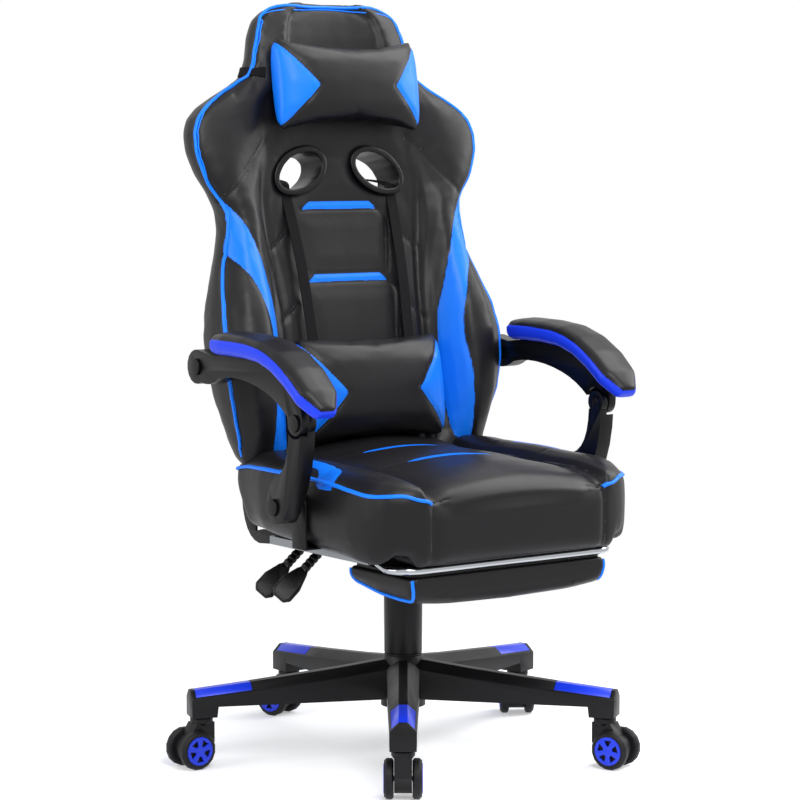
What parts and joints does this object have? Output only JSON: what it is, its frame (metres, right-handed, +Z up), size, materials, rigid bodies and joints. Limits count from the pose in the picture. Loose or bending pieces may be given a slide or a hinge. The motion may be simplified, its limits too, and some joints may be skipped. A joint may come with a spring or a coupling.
{
  "type": "gaming chair",
  "caption": "Reclining gaming chair on a five-star caster base with linked armrests, pull-out footrest, and head and lumbar pillows.",
  "frame": {"origin": "on the floor, under the middle of the overall box", "axes": "+Z up, -Y the way the sitter faces, +X to the sitter's left"},
  "size_m": [0.7329, 0.713, 1.201],
  "materials": {
    "nylon": "moulded black nylon, satin",
    "blue_plastic": "saturated blue, satin gloss",
    "wheel": "black tread with blue hub discs",
    "steel": "zinc plated",
    "black_steel": "black powder coat",
    "chrome": "polished",
    "leather": "black polyurethane leather with blue piping and insets",
    "arm_leather": "black top with a blue side band",
    "webbing": "flat black elastic webbing",
    "board": "plywood painted black"
  },
  "bodies": {
    "base": {"base_star": "nylon", "arm_cap_1": "blue_plastic", "arm_cap_2": "blue_plastic", "arm_cap_3": "blue_plastic", "arm_cap_4": "blue_plastic", "arm_cap_5": "blue_plastic", "gas_cylinder": "black_steel", "dust_cover_lower": "nylon"},
    "caster_1": {"caster_hood_1": "nylon", "caster_stem_1": "steel"},
    "wheels_1": {"caster_wheels_1": "wheel"},
    "caster_2": {"caster_hood_2": "nylon", "caster_stem_2": "steel"},
    "wheels_2": {"caster_wheels_2": "wheel"},
    "caster_3": {"caster_hood_3": "nylon", "caster_stem_3": "steel"},
    "wheels_3": {"caster_wheels_3": "wheel"},
    "caster_4": {"caster_hood_4": "nylon", "caster_stem_4": "steel"},
    "wheels_4": {"caster_wheels_4": "wheel"},
    "caster_5": {"caster_hood_5": "nylon", "caster_stem_5": "steel"},
    "wheels_5": {"caster_wheels_5": "wheel"},
    "lift": {"gas_piston": "steel", "dust_cover_upper": "nylon"},
    "middle_cover": {"dust_cover_middle": "nylon"},
    "seat": {"mechanism": "black_steel", "seat_board": "board", "seat_cushion": "leather", "recliner_bracket_left": "black_steel", "recliner_bracket_right": "black_steel", "arm_bracket_left": "black_steel", "arm_bracket_right": "black_steel", "footrest_rail_left": "steel", "footrest_rail_right": "steel"},
    "back": {"back_frame": "black_steel", "back_cushion": "leather", "hole_bezel_left": "nylon", "hole_bezel_right": "nylon", "arm_rear_bolt_left": "black_steel", "arm_rear_bolt_right": "black_steel", "head_pillow": "leather", "lumbar_pillow": "leather", "lumbar_strap_left": "webbing", "lumbar_strap_right": "webbing"},
    "arm_left": {"arm_frame_left": "nylon", "arm_pad_left": "arm_leather"},
    "post_left": {"arm_post_left": "nylon", "arm_front_bolt_left": "black_steel"},
    "arm_right": {"arm_frame_right": "nylon", "arm_pad_right": "arm_leather"},
    "post_right": {"arm_post_right": "nylon", "arm_front_bolt_right": "black_steel"},
    "footrest_slide": {"footrest_frame": "chrome"},
    "footrest": {"footrest_pad": "leather", "footrest_board": "nylon"},
    "lift_lever": {"lift_lever_rod": "steel", "lift_lever_handle": "nylon"},
    "recline_lever": {"recline_lever_rod": "steel", "recline_lever_handle": "nylon"}
  },
  "joints": [
    {"name": "caster_swivel_1", "type": "hinge", "parent": "base", "child": "caster_1", "pos_m": [-0.19692, -0.30094, 0.09], "axis": [0, 0, 1], "continuous": true},
    {"name": "caster_roll_1", "type": "hinge", "parent": "caster_1", "child": "wheels_1", "pos_m": [-0.18516, -0.28476, 0.02991], "axis": [-0.809, 0.5878, 0], "continuous": true},
    {"name": "caster_swivel_2", "type": "hinge", "parent": "base", "child": "caster_2", "pos_m": [0.19455, -0.30094, 0.09], "axis": [0, 0, 1], "continuous": true},
    {"name": "caster_roll_2", "type": "hinge", "parent": "caster_2", "child": "wheels_2", "pos_m": [0.20204, -0.31948, 0.02991], "axis": [0.9272, 0.3746, 0], "continuous": true},
    {"name": "caster_swivel_3", "type": "hinge", "parent": "base", "child": "caster_3", "pos_m": [0.31552, 0.07137, 0.09], "axis": [0, 0, 1], "continuous": true},
    {"name": "caster_roll_3", "type": "hinge", "parent": "caster_3", "child": "wheels_3", "pos_m": [0.3267, 0.08795, 0.02991], "axis": [-0.829, 0.5592, 0], "continuous": true},
    {"name": "caster_swivel_4", "type": "hinge", "parent": "base", "child": "caster_4", "pos_m": [-0.00119, 0.30146, 0.09], "axis": [0, 0, 1], "continuous": true},
    {"name": "caster_roll_4", "type": "hinge", "parent": "caster_4", "child": "wheels_4", "pos_m": [-0.0077, 0.32038, 0.02991], "axis": [-0.9455, -0.3256, 0], "continuous": true},
    {"name": "caster_swivel_5", "type": "hinge", "parent": "base", "child": "caster_5", "pos_m": [-0.31789, 0.07137, 0.09], "axis": [0, 0, 1], "continuous": true},
    {"name": "caster_roll_5", "type": "hinge", "parent": "caster_5", "child": "wheels_5", "pos_m": [-0.33789, 0.07137, 0.02991], "axis": [0, -1, 0], "continuous": true},
    {"name": "seat_height", "type": "slide", "parent": "base", "child": "lift", "axis": [0, 0, 1], "range_m": [0, 0.1]},
    {"name": "cover_slide", "type": "slide", "parent": "base", "child": "middle_cover", "axis": [0, 0, 1], "range_m": [0, 0.05]},
    {"name": "seat_swivel", "type": "hinge", "parent": "lift", "child": "seat", "pos_m": [-0.00119, -0.03154, 0.338], "axis": [0, 0, 1], "continuous": true},
    {"name": "recline", "type": "hinge", "parent": "seat", "child": "back", "pos_m": [-0.00119, 0.11847, 0.418], "axis": [-1, 0, 0], "range_deg": [0, 45]},
    {"name": "arm_rear_pivot_left", "type": "hinge", "parent": "back", "child": "arm_left", "pos_m": [0.28881, 0.10046, 0.626], "axis": [-1, 0, 0], "range_deg": [-40, 0]},
    {"name": "arm_foot_pivot_left", "type": "hinge", "parent": "seat", "child": "post_left", "pos_m": [0.28881, -0.11754, 0.428], "axis": [-1, 0, 0], "range_deg": [0, 62]},
    {"name": "arm_rear_pivot_right", "type": "hinge", "parent": "back", "child": "arm_right", "pos_m": [-0.29119, 0.10046, 0.626], "axis": [-1, 0, 0], "range_deg": [-40, 0]},
    {"name": "arm_foot_pivot_right", "type": "hinge", "parent": "seat", "child": "post_right", "pos_m": [-0.29119, -0.11754, 0.428], "axis": [-1, 0, 0], "range_deg": [0, 62]},
    {"name": "footrest_pull", "type": "slide", "parent": "seat", "child": "footrest_slide", "axis": [0, -1, 0], "range_m": [0, 0.23]},
    {"name": "footrest_turn", "type": "hinge", "parent": "footrest_slide", "child": "footrest", "pos_m": [-0.00119, -0.31154, 0.3448], "axis": [-1, 0, 0], "range_deg": [0, 180]},
    {"name": "lift_lever_pull", "type": "hinge", "parent": "seat", "child": "lift_lever", "pos_m": [-0.05719, -0.04653, 0.343], "axis": [0, 1, 0], "range_deg": [0, 5], "stiffness_Nm_per_rad": 3},
    {"name": "recline_lever_pull", "type": "hinge", "parent": "seat", "child": "recline_lever", "pos_m": [-0.05719, 0.00347, 0.343], "axis": [0, 1, 0], "range_deg": [0, 5], "stiffness_Nm_per_rad": 3}
  ],
  "couplings": [
    {"joint": "cover_slide", "follows": "seat_height", "ratio": 0.5},
    {"joint": "arm_rear_pivot_left", "follows": "recline", "ratio": -0.8398},
    {"joint": "arm_foot_pivot_left", "follows": "recline", "ratio": 1.3607},
    {"joint": "arm_rear_pivot_right", "follows": "recline", "ratio": -0.8398},
    {"joint": "arm_foot_pivot_right", "follows": "recline", "ratio": 1.3607},
    {"joint": "footrest_turn", "follows": "footrest_pull", "rad_per_m": 13.658}
  ]
}
